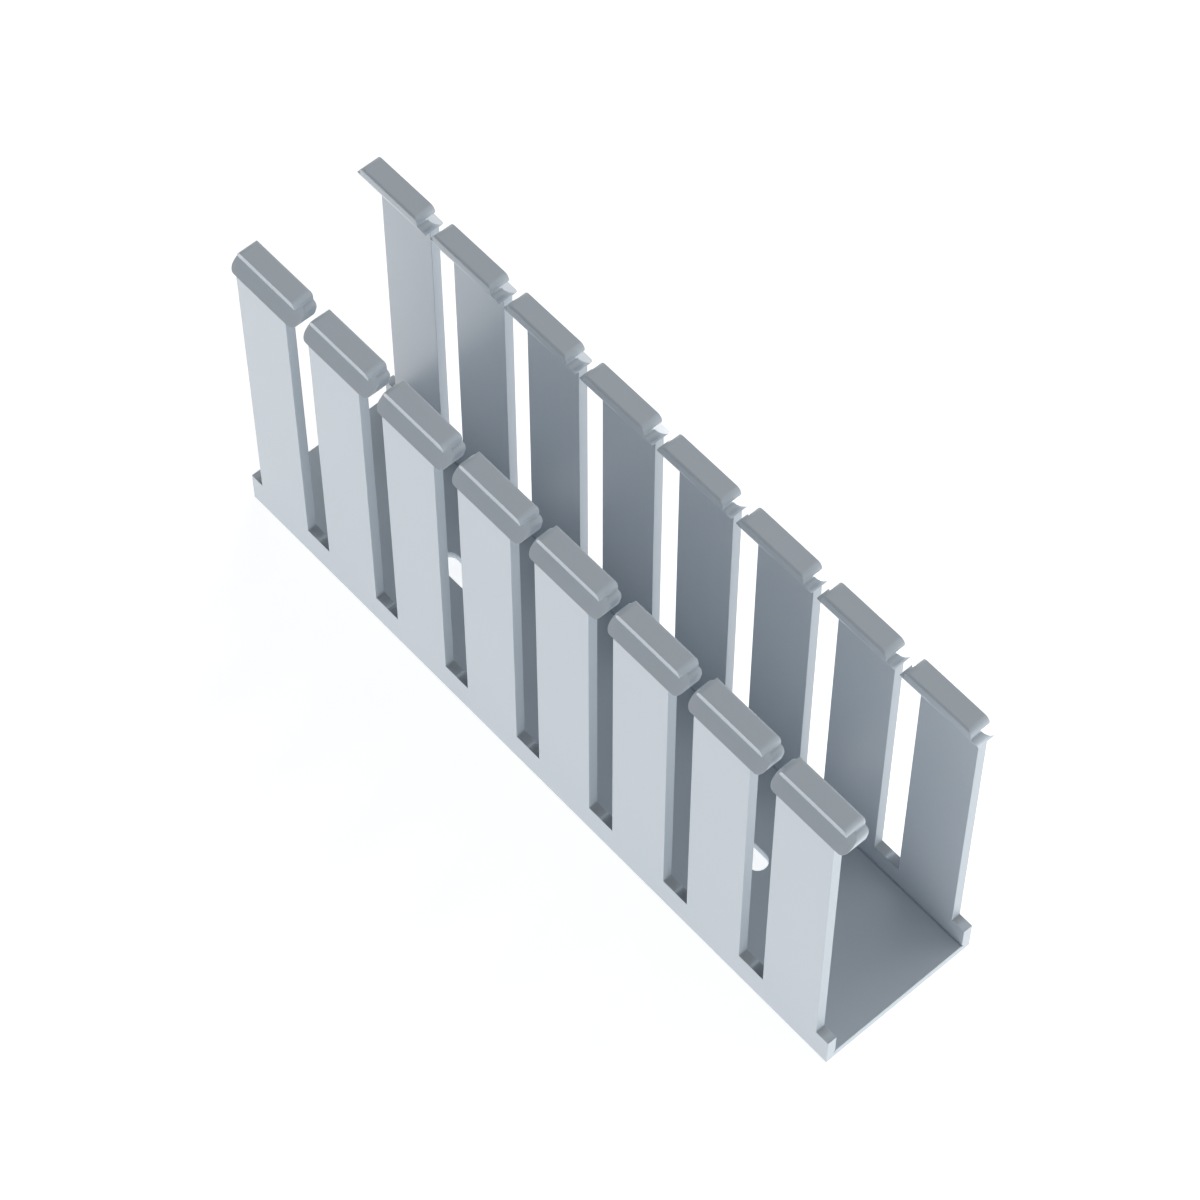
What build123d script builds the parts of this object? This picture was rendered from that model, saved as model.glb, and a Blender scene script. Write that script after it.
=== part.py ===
from build123d import *
import os

os.makedirs("parts", exist_ok=True)

# Slotted wire duct: one extruded U channel whose two side walls are slotted into fingers.
# +X runs along the duct, Y goes across it and +Z is up.
# The origin is the middle of the flat base, on the face that goes against the panel.

# Length: whole pitches, cut through the middle of a slot at both ends
pitch = 12.5
finger_count = 8
slot_width = 3.9
duct_length = pitch * finger_count

# Cross-section of the channel
duct_width = 22.0
duct_height = 49.4
wall = 1.28
floor_thickness = 1.25
sill_height = 4.6
# A fine V groove runs along the inside corners between floor and walls
groove_mouth = 0.15
groove_depth = 0.3

# Cross-section of a finger's head: the wall leans inwards as a ledge, under a crown that
# overhangs the ledge outside as a hook for the cover and overhangs the channel inside as a lip
crown_setback = 0.9
crown_depth = 2.7
crown_edge_radius = 0.3
hook_height = 0.95
lip_nose_run = 0.5
lip_nose_drop = 1.3

# Outline of the heads seen from the side of the duct, from the top down
crown_overhang = 0.65
crown_corner_radius = 0.75
crown_side_height = 0.55
lobe_shelf = 0.1
lobe_top_radius = 0.67
lobe_side_height = 0.45
lobe_bottom_radius = 0.9

# Mounting slots along the middle of the floor
floor_slot_width = 2.6
floor_slot_length = 6.3
floor_slot_spacing = 50.0
floor_slot_count = 2

# Cutters run this far past the faces that they cut
overcut = 1.0

half_slot = slot_width / 2
crown_edge = half_slot - crown_overhang
lobe_edge = crown_edge - lobe_shelf - lobe_top_radius
crown_side_top = duct_height - crown_corner_radius
crown_base = crown_side_top - crown_side_height
lobe_side_top = crown_base - lobe_top_radius
ledge_base = lobe_side_top - lobe_side_height - lobe_bottom_radius
mouth_height = duct_height + overcut

outer_face = -duct_width / 2
inner_face = outer_face + wall
hook_face = outer_face + crown_setback
lip_face = hook_face + crown_depth
hook_base = duct_height - hook_height
# The ledge leans at 45 degrees, so it goes in as far as it rises
ledge_root = outer_face + hook_base - ledge_base
nose_end = lip_face - lip_nose_run
nose_base = crown_base - lip_nose_drop
# The underside of the lip leans at 45 degrees as well
lip_root = nose_base - (nose_end - inner_face)

# One slot between two fingers: parallel sides, then the narrow gap between two heads
with BuildSketch() as slot:
    with BuildLine():
        side = Polyline(
            (0, sill_height),
            (half_slot, sill_height),
            (half_slot, ledge_base),
            (lobe_edge + lobe_bottom_radius, ledge_base),
        )
        under_lobe = JernArc(side @ 1, (-1, 0), lobe_bottom_radius, -90)
        lobe_side = Line(under_lobe @ 1, (lobe_edge, lobe_side_top))
        over_lobe = JernArc(lobe_side @ 1, (0, 1), lobe_top_radius, -90)
        crown = Polyline(over_lobe @ 1, (crown_edge, crown_base), (crown_edge, crown_side_top))
        corner = JernArc(crown @ 1, (0, 1), crown_corner_radius, -90)
        mouth = Polyline(
            corner @ 1,
            (crown_edge + crown_corner_radius, mouth_height),
            (0, mouth_height),
        )
        for edge in (side, under_lobe, lobe_side, over_lobe, crown, corner, mouth):
            mirror(edge, about=Plane.YZ)
    make_face()

with BuildPart() as duct:
    # Half of the channel's section, completed by its mirror and run along the duct
    with BuildSketch(Plane.YZ.offset(-duct_length / 2)) as section:
        with BuildLine():
            outside = Polyline(
                (0, 0),
                (outer_face, 0),
                (outer_face, ledge_base),
                (ledge_root, hook_base),
                (hook_face, hook_base),
                (hook_face, duct_height),
                (lip_face - crown_edge_radius, duct_height),
            )
            lip_edge = JernArc(outside @ 1, (1, 0), crown_edge_radius, -90)
            inside = Polyline(
                lip_edge @ 1,
                (lip_face, crown_base),
                (nose_end, nose_base),
                (inner_face, lip_root),
                (inner_face, floor_thickness + groove_mouth),
                (inner_face - groove_depth, floor_thickness - groove_depth),
                (inner_face + groove_mouth, floor_thickness),
                (0, floor_thickness),
            )
            for edge in (outside, lip_edge, inside):
                mirror(edge, about=Plane.YZ)
        make_face()
    extrude(amount=duct_length)
    # Slots through both walls, with half a slot at each end of the duct
    with BuildSketch(Plane.XZ.offset(outer_face - overcut)):
        with GridLocations(pitch, 0, finger_count + 1, 1):
            add(slot.sketch)
    extrude(amount=duct_width + 2 * overcut, mode=Mode.SUBTRACT)
    with BuildSketch():
        with GridLocations(floor_slot_spacing, 0, floor_slot_count, 1):
            SlotOverall(floor_slot_length, floor_slot_width)
    extrude(amount=floor_thickness, mode=Mode.SUBTRACT)

duct.part.label = "wire_duct"
export_step(duct.part, "parts/wire_duct.step")
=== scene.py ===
"""Slotted wire duct: the looks of its one plastic piece and a plain studio round it.

The channel is modelled as it is made. Its section is drawn and extruded, then punches cut the
finger gaps and the floor slots, and every outer edge is eased a little.
"""

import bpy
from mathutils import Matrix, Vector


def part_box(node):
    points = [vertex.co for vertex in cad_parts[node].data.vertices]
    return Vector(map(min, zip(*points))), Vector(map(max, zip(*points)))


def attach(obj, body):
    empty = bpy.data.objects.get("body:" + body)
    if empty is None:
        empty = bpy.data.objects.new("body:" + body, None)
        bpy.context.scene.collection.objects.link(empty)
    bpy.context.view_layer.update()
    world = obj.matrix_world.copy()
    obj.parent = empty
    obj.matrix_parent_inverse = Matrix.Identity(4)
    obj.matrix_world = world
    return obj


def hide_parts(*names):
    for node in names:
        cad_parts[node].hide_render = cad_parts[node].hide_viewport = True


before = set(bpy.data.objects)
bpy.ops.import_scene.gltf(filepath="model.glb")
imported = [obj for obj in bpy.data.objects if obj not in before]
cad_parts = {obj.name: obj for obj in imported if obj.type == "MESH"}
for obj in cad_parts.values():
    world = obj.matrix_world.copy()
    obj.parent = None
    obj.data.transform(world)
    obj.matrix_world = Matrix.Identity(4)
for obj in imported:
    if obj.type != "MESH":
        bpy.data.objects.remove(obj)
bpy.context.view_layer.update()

import math

import bmesh
import bpy
from mathutils import Matrix, Vector

bl_info = {
    "name": "Slotted Wire Duct",
    "version": (1, 0, 0),
    "blender": (4, 5, 0),
    "location": "View3D > Sidebar > Wire Duct",
    "description": "Builds a slotted wire duct and a plain studio for it",
    "category": "Object",
}

NODE = "wire_duct"
DUCT_LOW, DUCT_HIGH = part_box(NODE)
DUCT_SIZE = DUCT_HIGH - DUCT_LOW

# How far the noise of the marks is drawn out: the higher, the shorter along that axis
DIE_LINES = (8, 700, 700)
PUNCH_MARKS = (1300, 300, 1300)
# The broad patches over which gloss and shade vary, and by how much they vary
PATCH_SCALE = 60
NOISE_LOW, NOISE_HIGH = 0.2, 0.8
GLOSS_SPREAD = 0.04
SHADE_SPREAD = 0.015
PLASTIC_IOR = 1.52
WHITE = (1, 1, 1, 1)

# Where the four soft lights come from
FROM_BACK = (0, 1, 0.45)
FROM_END = (1, 0, 0.1)
FROM_FRONT = (0, -1, 0.1)
FROM_ABOVE = (0, 0, 1)

SENSOR_WIDTH = 36


def mm(value):
    """Millimetres as metres."""
    return value / 1000


# Points closer than this are one point: in a fresh outline, and after the cuts
OUTLINE_WELD = mm(0.0001)
CUT_WELD = mm(0.001)


def size_property(name, description, default):
    """A length that a user may change, in metres."""
    return bpy.props.FloatProperty(
        name=name, description=description, default=default, min=0, precision=5, unit="LENGTH"
    )


def colour_property(name, description, default):
    """A linear colour that a user may change."""
    return bpy.props.FloatVectorProperty(
        name=name, description=description, default=default, min=0, max=1, size=3, subtype="COLOR"
    )


def share_property(name, description, default):
    """A number from 0 to 1 that a user may change."""
    return bpy.props.FloatProperty(
        name=name, description=description, default=default, min=0, max=1, subtype="FACTOR"
    )


def place_property(name, description, default):
    """A point in the scene, in metres."""
    return bpy.props.FloatVectorProperty(
        name=name,
        description=description,
        default=default,
        precision=5,
        size=3,
        subtype="TRANSLATION",
        unit="LENGTH",
    )


def light_property(name, description, default):
    """The strength of a light, where 1 is white."""
    return bpy.props.FloatProperty(name=name, description=description, default=default, min=0)


class DuctSizes(bpy.types.PropertyGroup):
    """Sizes of the channel, its fingers and the slots in its floor."""

    length: size_property("Length", "Length of the cut piece", DUCT_SIZE.x)
    width: size_property("Width", "Width over the two walls", DUCT_SIZE.y)
    height: size_property("Height", "Height to the top of the fingers", DUCT_SIZE.z)
    wall: size_property("Wall", "Thickness of the side walls", mm(1.28))
    floor: size_property("Floor", "Thickness of the floor", mm(1.25))
    sill: size_property("Sill", "Height of the uncut foot of the walls", mm(4.6))
    finger_count: bpy.props.IntProperty(
        name="Fingers", description="Number of fingers along each wall", default=8, min=1
    )
    gap: size_property("Gap", "Width of the gap between two fingers", mm(3.9))
    crown_setback: size_property("Crown setback", "From the wall's face in to the crown", mm(0.9))
    crown_depth: size_property("Crown depth", "Thickness of the crown across the wall", mm(2.7))
    crown_edge: size_property("Crown edge", "Radius of the crown's inner edge", mm(0.3))
    hook_height: size_property("Hook height", "Height of the crown's overhang", mm(0.95))
    nose_run: size_property("Nose run", "Slope of the lip's nose across the wall", mm(0.5))
    nose_drop: size_property("Nose drop", "Height of the lip's nose", mm(1.3))
    crown_overhang: size_property("Crown overhang", "From finger side to crown end", mm(0.65))
    crown_corner: size_property("Crown corner", "Radius of the crown's upper corners", mm(0.75))
    crown_side: size_property("Crown side", "Height of the crown's straight ends", mm(0.55))
    lobe_shelf: size_property("Lobe shelf", "Flat step between crown and lobe", mm(0.1))
    lobe_top: size_property("Lobe top", "Radius of the lobe's upper corners", mm(0.67))
    lobe_side: size_property("Lobe side", "Height of the lobe's straight ends", mm(0.45))
    lobe_bottom: size_property("Lobe bottom", "Radius of the lobe's lower corners", mm(0.9))
    groove_mouth: size_property("Groove mouth", "Mouth of the inside corners' groove", mm(0.15))
    groove_depth: size_property("Groove depth", "Depth of the inside corners' groove", mm(0.3))
    slot_width: size_property("Floor slot width", "Width of a mounting slot", mm(2.6))
    slot_length: size_property("Floor slot length", "Length of a mounting slot", mm(6.3))
    slot_spacing: size_property("Floor slot spacing", "Between the two mounting slots", mm(50))
    edge_ease: size_property("Edge ease", "Width by which the outer edges are eased", mm(0.05))
    edge_segments: bpy.props.IntProperty(
        name="Edge segments", description="Faces across an eased edge", default=2, min=1
    )
    corner_segments: bpy.props.IntProperty(
        name="Corner segments", description="Faces round a corner of a head", default=10, min=2
    )


class DuctFinish(bpy.types.PropertyGroup):
    """Colour and surface of the plastic."""

    plastic: colour_property("Plastic", "Colour of the extruded faces", (0.46, 0.515, 0.57))
    fresh_cut: colour_property("Cut faces", "Colour of the punched faces", (0.46, 0.52, 0.575))
    roughness: share_property("Roughness", "Roughness of the extruded faces", 0.34)
    cut_roughness: share_property("Cut roughness", "Roughness of the punched faces", 0.42)
    line_depth: size_property("Die line depth", "Depth of the die's fine lines", mm(0.0012))
    tear_depth: size_property("Cut mark depth", "Depth of the punch's marks", mm(0.001))


class StudioSettings(bpy.types.PropertyGroup):
    """Camera, lights and floor."""

    azimuth: bpy.props.FloatProperty(
        name="Azimuth",
        description="Turn of the camera round the duct",
        default=math.radians(48.434),
        subtype="ANGLE",
    )
    elevation: bpy.props.FloatProperty(
        name="Elevation",
        description="Height of the camera above the horizon",
        default=math.radians(57.952),
        subtype="ANGLE",
    )
    distance: size_property("Distance", "From the camera to its aim", mm(460.06))
    aim: place_property("Aim", "Point that the camera looks at", (mm(0.14), mm(-0.12), mm(25)))
    lens: bpy.props.FloatProperty(
        name="Lens", description="Focal length in millimetres", default=124.52, min=1
    )
    floor_side: size_property("Floor side", "Side of the square floor", 12.0)
    floor_colour: colour_property("Floor colour", "Colour of the floor", (0.8, 0.8, 0.8))
    floor_glow: light_property("Floor glow", "Light that the table under the duct gives", 1.1)
    floor_look: light_property("Floor look", "Glow of the table as the camera sees it", 0.67)
    back_light: light_property("Back light", "Strength of the soft light behind the far wall", 1.8)
    end_light: light_property("End light", "Strength of the soft light on the near cut end", 1.13)
    front_light: light_property("Front light", "Strength of the soft light on the near wall", 0.66)
    top_light: light_property("Top light", "Strength of the soft light overhead", 0.42)
    focus: bpy.props.FloatProperty(
        name="Light focus", description="The higher, the narrower the soft lights", default=4, min=1
    )
    strip_watts: bpy.props.FloatProperty(
        name="Strip light",
        description="Power of the strip light behind the duct",
        default=0.18,
        min=0,
        unit="POWER",
    )
    strip_place: place_property(
        "Strip place", "Middle of the strip light", (mm(-6), mm(130), mm(2))
    )
    strip_length: size_property("Strip length", "Length of the strip light", mm(80))
    strip_width: size_property("Strip width", "Width of the strip light", mm(100))


def add_outline(bm, corners, segments):
    """A flat face from (point, radius) corners, each rounded to its radius."""
    verts = [bm.verts.new(point) for point, radius in corners]
    bm.faces.new(verts)
    for vert, (point, radius) in zip(verts, corners):
        if radius > 0:
            bmesh.ops.bevel(
                bm,
                geom=[vert],
                offset=radius,
                segments=segments,
                profile=0.5,
                affect="VERTICES",
                material=-1,
            )


def extrude_outline(bm, run):
    """Pulls every flat face of the mesh into a solid along run."""
    made = bmesh.ops.extrude_face_region(bm, geom=bm.faces[:])
    moved = [item for item in made["geom"] if isinstance(item, bmesh.types.BMVert)]
    bmesh.ops.translate(bm, verts=moved, vec=run)
    bmesh.ops.remove_doubles(bm, verts=bm.verts, dist=OUTLINE_WELD)
    bmesh.ops.recalc_face_normals(bm, faces=bm.faces)


def both_sides(half):
    """A whole outline from its half, which runs from the middle round to the middle."""
    return half + [((-across, up), radius) for (across, up), radius in reversed(half)]


def new_object(name, bm, *materials):
    """An object in the scene that takes over a bmesh."""
    mesh = bpy.data.meshes.new(name)
    bm.to_mesh(mesh)
    bm.free()
    for material in materials:
        mesh.materials.append(material)
    made = bpy.data.objects.new(name, mesh)
    bpy.context.scene.collection.objects.link(made)
    return made


def head_heights(duct):
    """Heights of a head's ledge foot, crown foot and hook, stacked down from the top."""
    crown_foot = duct.height - duct.crown_corner - duct.crown_side
    ledge_foot = crown_foot - duct.lobe_top - duct.lobe_side - duct.lobe_bottom
    return ledge_foot, crown_foot, duct.height - duct.hook_height


def channel_section(duct):
    """Half of the channel's section, from the underside up the wall and down to the floor."""
    ledge_foot, crown_foot, hook_foot = head_heights(duct)
    outer = duct.width / 2
    inner = outer - duct.wall
    hook = outer - duct.crown_setback
    lip = hook - duct.crown_depth
    ledge_root = outer - (hook_foot - ledge_foot)
    nose_end = lip + duct.nose_run
    nose_foot = crown_foot - duct.nose_drop
    lip_root = nose_foot - (inner - nose_end)
    return [
        ((outer, 0), 0),
        ((outer, ledge_foot), 0),
        ((ledge_root, hook_foot), 0),
        ((hook, hook_foot), 0),
        ((hook, duct.height), 0),
        ((lip, duct.height), duct.crown_edge),
        ((lip, crown_foot), 0),
        ((nose_end, nose_foot), 0),
        ((inner, lip_root), 0),
        ((inner, duct.floor + duct.groove_mouth), 0),
        ((inner + duct.groove_depth, duct.floor - duct.groove_depth), 0),
        ((inner - duct.groove_mouth, duct.floor), 0),
    ]


def punch_outline(duct):
    """Half of a finger gap's outline: straight sides, then the narrow gap between two heads."""
    ledge_foot, crown_foot, _ = head_heights(duct)
    side = duct.gap / 2
    crown_end = side - duct.crown_overhang
    lobe_end = crown_end - duct.lobe_shelf - duct.lobe_top
    mouth = crown_end + duct.crown_corner
    above = duct.height + duct.wall
    return [
        ((side, duct.sill), 0),
        ((side, ledge_foot), 0),
        ((lobe_end, ledge_foot), duct.lobe_bottom),
        ((lobe_end, crown_foot), duct.lobe_top),
        ((crown_end, crown_foot), 0),
        ((crown_end, duct.height), duct.crown_corner),
        ((mouth, duct.height), 0),
        ((mouth, above), 0),
    ]


def channel_mesh(duct):
    """The channel as it leaves the die: its section run along the whole length."""
    bm = bmesh.new()
    start = -duct.length / 2
    section = both_sides(channel_section(duct))
    corners = [((start, y, z), radius) for (y, z), radius in section]
    add_outline(bm, corners, duct.corner_segments)
    extrude_outline(bm, (duct.length, 0, 0))
    return bm


def wall_punch_mesh(duct):
    """The punches that cut all the finger gaps through both walls."""
    bm = bmesh.new()
    pitch = duct.length / duct.finger_count
    start = -duct.width
    outline = both_sides(punch_outline(duct))
    for number in range(duct.finger_count + 1):
        middle = number * pitch - duct.length / 2
        corners = [((middle + x, start, z), radius) for (x, z), radius in outline]
        add_outline(bm, corners, duct.corner_segments)
    extrude_outline(bm, (0, 2 * duct.width, 0))
    return bm


def floor_punch_mesh(duct):
    """The punches that cut the round-ended mounting slots through the floor."""
    bm = bmesh.new()
    across = duct.slot_width / 2
    along = duct.slot_length / 2
    for side in (-1, 1):
        middle = side * duct.slot_spacing / 2
        corners = [
            ((middle + x, y, -duct.floor), across)
            for x, y in ((along, across), (-along, across), (-along, -across), (along, -across))
        ]
        add_outline(bm, corners, duct.corner_segments)
    extrude_outline(bm, (0, 0, 3 * duct.floor))
    return bm


def cut(piece, punch):
    """Cuts the punch out of the piece, whose cut faces take the punch's material."""
    boolean = piece.modifiers.new("cut", "BOOLEAN")
    boolean.object = punch
    boolean.operation = "DIFFERENCE"
    boolean.solver = "EXACT"
    boolean.material_mode = "TRANSFER"
    graph = bpy.context.evaluated_depsgraph_get()
    cut_mesh = bpy.data.meshes.new_from_object(piece.evaluated_get(graph))
    piece.modifiers.clear()
    piece.data = cut_mesh
    bpy.data.objects.remove(punch)


def mark_edges(piece, curve_turn):
    """Marks the edges that turn by more than a curve's steps.

    Those that stand out get a bevel weight, and those in a corner are sharp.
    """
    bm = bmesh.new()
    bm.from_mesh(piece.data)
    bmesh.ops.remove_doubles(bm, verts=bm.verts, dist=CUT_WELD)
    bmesh.ops.dissolve_degenerate(bm, edges=bm.edges, dist=CUT_WELD)
    weights = bm.edges.layers.float.new("bevel_weight_edge")
    for edge in bm.edges:
        turns = edge.calc_face_angle(math.pi) > curve_turn
        if turns and edge.is_convex:
            edge[weights] = 1
        edge.smooth = not turns or edge.is_convex
    for face in bm.faces:
        face.smooth = True
    bm.to_mesh(piece.data)
    bm.free()


def ease_edges(piece, width, segments):
    """Rounds the marked edges and keeps the flat faces flat."""
    bevel = piece.modifiers.new("eased edges", "BEVEL")
    bevel.limit_method = "WEIGHT"
    bevel.width = width
    bevel.segments = segments
    bevel.use_clamp_overlap = False
    normals = piece.modifiers.new("flat faces", "WEIGHTED_NORMAL")
    normals.weight = 100
    normals.keep_sharp = True


def node_of(tree, kind, **settings):
    """A shader node of a kind, with its properties and input values set by name."""
    node = tree.nodes.new(kind)
    for name, value in settings.items():
        if hasattr(node, name):
            setattr(node, name, value)
        else:
            node.inputs[name.replace("_", " ")].default_value = value
    return node


def plastic_material(name, colour, roughness, mark_scale, mark_depth):
    """Satin plastic with fine marks in its surface and a gloss that varies in broad patches."""
    material = bpy.data.materials.new(name)
    material.use_nodes = True
    material.diffuse_color = (*colour, 1)
    tree = material.node_tree
    links = tree.links
    shader = tree.nodes["Principled BSDF"]
    shader.inputs["IOR"].default_value = PLASTIC_IOR
    place = tree.nodes.new("ShaderNodeTexCoord")

    # The marks: noise drawn out along the axis in which the tool moved
    stretch = node_of(tree, "ShaderNodeMapping")
    stretch.inputs["Scale"].default_value = mark_scale
    links.new(place.outputs["Object"], stretch.inputs["Vector"])
    marks = node_of(tree, "ShaderNodeTexNoise", Scale=1.0, Detail=1.0, Roughness=0.5)
    links.new(stretch.outputs["Vector"], marks.inputs["Vector"])
    bump = node_of(tree, "ShaderNodeBump", Strength=1.0, Distance=mark_depth)
    links.new(marks.outputs["Fac"], bump.inputs["Height"])
    links.new(bump.outputs["Normal"], shader.inputs["Normal"])

    # The gloss varies in broad, soft patches
    patches = node_of(tree, "ShaderNodeTexNoise", Scale=PATCH_SCALE, Detail=1.0, Roughness=0.5)
    links.new(place.outputs["Object"], patches.inputs["Vector"])
    gloss = node_of(tree, "ShaderNodeMapRange")
    gloss.inputs["From Min"].default_value = NOISE_LOW
    gloss.inputs["From Max"].default_value = NOISE_HIGH
    gloss.inputs["To Min"].default_value = roughness - GLOSS_SPREAD
    gloss.inputs["To Max"].default_value = roughness + GLOSS_SPREAD
    links.new(patches.outputs["Fac"], gloss.inputs["Value"])
    links.new(gloss.outputs["Result"], shader.inputs["Roughness"])

    # The colour is even, with a shade that barely changes from place to place
    ramp = node_of(tree, "ShaderNodeValToRGB")
    low, high = ramp.color_ramp.elements
    low.position, high.position = NOISE_LOW, NOISE_HIGH
    low.color = (*(channel * (1 - SHADE_SPREAD) for channel in colour), 1)
    high.color = (*(channel * (1 + SHADE_SPREAD) for channel in colour), 1)
    links.new(patches.outputs["Fac"], ramp.inputs["Fac"])
    links.new(ramp.outputs["Color"], shader.inputs["Base Color"])
    return material


class OBJECT_OT_wire_duct(bpy.types.Operator):
    """Build the slotted channel, with its fingers, heads and floor slots"""

    bl_idname = "object.wire_duct"
    bl_label = "Wire Duct"
    bl_options = {"REGISTER", "UNDO"}

    def execute(self, context):
        duct = context.scene.duct_sizes
        finish = context.scene.duct_finish
        extruded = plastic_material(
            "extruded_plastic", finish.plastic, finish.roughness, DIE_LINES, finish.line_depth
        )
        fresh_cut = plastic_material(
            "cut_plastic", finish.fresh_cut, finish.cut_roughness, PUNCH_MARKS, finish.tear_depth
        )
        piece = new_object("duct_body", channel_mesh(duct), extruded)
        cut(piece, new_object("wall_punches", wall_punch_mesh(duct), fresh_cut))
        cut(piece, new_object("floor_punches", floor_punch_mesh(duct), fresh_cut))
        curve_step = math.radians(90) / duct.corner_segments
        mark_edges(piece, 2 * curve_step)
        ease_edges(piece, duct.edge_ease, duct.edge_segments)
        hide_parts(NODE)
        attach(piece, "root")
        return {"FINISHED"}


def maths(tree, operation, first, second):
    """The output of a Math node, for which each value is a number or another node's output."""
    node = node_of(tree, "ShaderNodeMath", operation=operation)
    for socket, value in zip(node.inputs, (first, second)):
        if isinstance(value, (int, float)):
            socket.default_value = value
        else:
            tree.links.new(value, socket)
    return node.outputs["Value"]


def by_ray(tree, seen, mirrored, lit):
    """A strength for what the camera sees, one for reflections and one for the light given."""
    path = tree.nodes.new("ShaderNodeLightPath")
    camera = path.outputs["Is Camera Ray"]
    sees = maths(tree, "MAXIMUM", camera, path.outputs["Is Transmission Ray"])
    mirrors = path.outputs["Is Glossy Ray"]
    carries = maths(tree, "SUBTRACT", 1.0, maths(tree, "MAXIMUM", sees, mirrors))
    strength = 0.0
    for ray, value in ((sees, seen), (mirrors, mirrored), (carries, lit)):
        strength = maths(tree, "ADD", strength, maths(tree, "MULTIPLY", ray, value))
    return strength


def soft_light(tree, towards, strength, focus):
    """The strength of a broad soft light in the sky, strongest in one direction."""
    place = tree.nodes.new("ShaderNodeTexCoord")
    facing = node_of(tree, "ShaderNodeVectorMath", operation="DOT_PRODUCT")
    tree.links.new(place.outputs["Generated"], facing.inputs[0])
    facing.inputs[1].default_value = Vector(towards).normalized()
    front = maths(tree, "MAXIMUM", facing.outputs["Value"], 0.0)
    return maths(tree, "MULTIPLY", maths(tree, "POWER", front, focus), strength)


def floor_material(colour, look, glow):
    """A matt pale light table that glows evenly and takes a faint shadow."""
    material = bpy.data.materials.new("studio_floor")
    material.use_nodes = True
    tree = material.node_tree
    shader = tree.nodes["Principled BSDF"]
    shader.inputs["Base Color"].default_value = (*colour, 1)
    shader.inputs["Roughness"].default_value = 1
    shader.inputs["Specular IOR Level"].default_value = 0
    shader.inputs["Emission Color"].default_value = WHITE
    tree.links.new(by_ray(tree, look, glow, glow), shader.inputs["Emission Strength"])
    return material


def add_reflector(watts, place, length, width):
    """A strip light flat on the floor, which shows only as a gloss on what faces it."""
    lamp = bpy.data.lights.new("strip light", "AREA")
    lamp.energy = watts
    lamp.shape = "RECTANGLE"
    lamp.size = length
    lamp.size_y = width
    made = bpy.data.objects.new("strip light", lamp)
    made.location = place
    made.rotation_euler = (math.pi, 0, 0)
    made.visible_camera = False
    made.visible_diffuse = False
    bpy.context.scene.collection.objects.link(made)


class OBJECT_OT_duct_studio(bpy.types.Operator):
    """Set up the floor, the lights and the camera round the duct"""

    bl_idname = "object.duct_studio"
    bl_label = "Studio"
    bl_options = {"REGISTER", "UNDO"}

    def execute(self, context):
        studio = context.scene.duct_studio
        scene = context.scene
        scene.view_settings.view_transform = "Standard"

        bm = bmesh.new()
        bmesh.ops.create_grid(bm, x_segments=1, y_segments=1, size=studio.floor_side / 2)
        table = floor_material(studio.floor_colour, studio.floor_look, studio.floor_glow)
        floor = new_object("floor", bm, table)

        world = bpy.data.worlds.new("studio_world")
        scene.world = world
        world.use_nodes = True
        tree = world.node_tree
        sky = 0.0
        for towards, strength in (
            (FROM_BACK, studio.back_light),
            (FROM_END, studio.end_light),
            (FROM_FRONT, studio.front_light),
            (FROM_ABOVE, studio.top_light),
        ):
            sky = maths(tree, "ADD", sky, soft_light(tree, towards, strength, studio.focus))
        background = tree.nodes["Background"]
        background.inputs["Color"].default_value = WHITE
        tree.links.new(by_ray(tree, 1.0, 1.0, sky), background.inputs["Strength"])

        add_reflector(
            studio.strip_watts, studio.strip_place, studio.strip_length, studio.strip_width
        )

        camera = bpy.data.objects.new("camera", bpy.data.cameras.new("camera"))
        camera.data.lens = studio.lens
        camera.data.sensor_width = SENSOR_WIDTH
        camera.data.clip_start = mm(10)
        around = Matrix.Rotation(studio.azimuth, 3, "Z")
        turn = around @ Matrix.Rotation(-studio.elevation, 3, "X")
        back = turn @ Vector((0, -1, 0))
        camera.location = Vector(studio.aim) + back * studio.distance
        camera.rotation_euler = (-back).to_track_quat("-Z", "Y").to_euler()
        scene.collection.objects.link(camera)
        scene.camera = camera
        return {"FINISHED"}


class VIEW3D_PT_wire_duct(bpy.types.Panel):
    """Buttons and settings for the wire duct and its studio"""

    bl_label = "Wire Duct"
    bl_space_type = "VIEW_3D"
    bl_region_type = "UI"
    bl_category = "Wire Duct"

    def draw(self, context):
        layout = self.layout
        for group, operator in (
            (context.scene.duct_sizes, OBJECT_OT_wire_duct),
            (context.scene.duct_finish, None),
            (context.scene.duct_studio, OBJECT_OT_duct_studio),
        ):
            column = layout.column(align=True)
            for name in group.__annotations__:
                column.prop(group, name)
            if operator:
                column.operator(operator.bl_idname)


CLASSES = (
    DuctSizes,
    DuctFinish,
    StudioSettings,
    OBJECT_OT_wire_duct,
    OBJECT_OT_duct_studio,
    VIEW3D_PT_wire_duct,
)


def register():
    for cls in CLASSES:
        bpy.utils.register_class(cls)
    bpy.types.Scene.duct_sizes = bpy.props.PointerProperty(type=DuctSizes)
    bpy.types.Scene.duct_finish = bpy.props.PointerProperty(type=DuctFinish)
    bpy.types.Scene.duct_studio = bpy.props.PointerProperty(type=StudioSettings)


def unregister():
    del bpy.types.Scene.duct_studio
    del bpy.types.Scene.duct_finish
    del bpy.types.Scene.duct_sizes
    for cls in reversed(CLASSES):
        bpy.utils.unregister_class(cls)


def main():
    register()
    bpy.ops.object.wire_duct()
    bpy.ops.object.duct_studio()


if __name__ == "__main__":
    main()
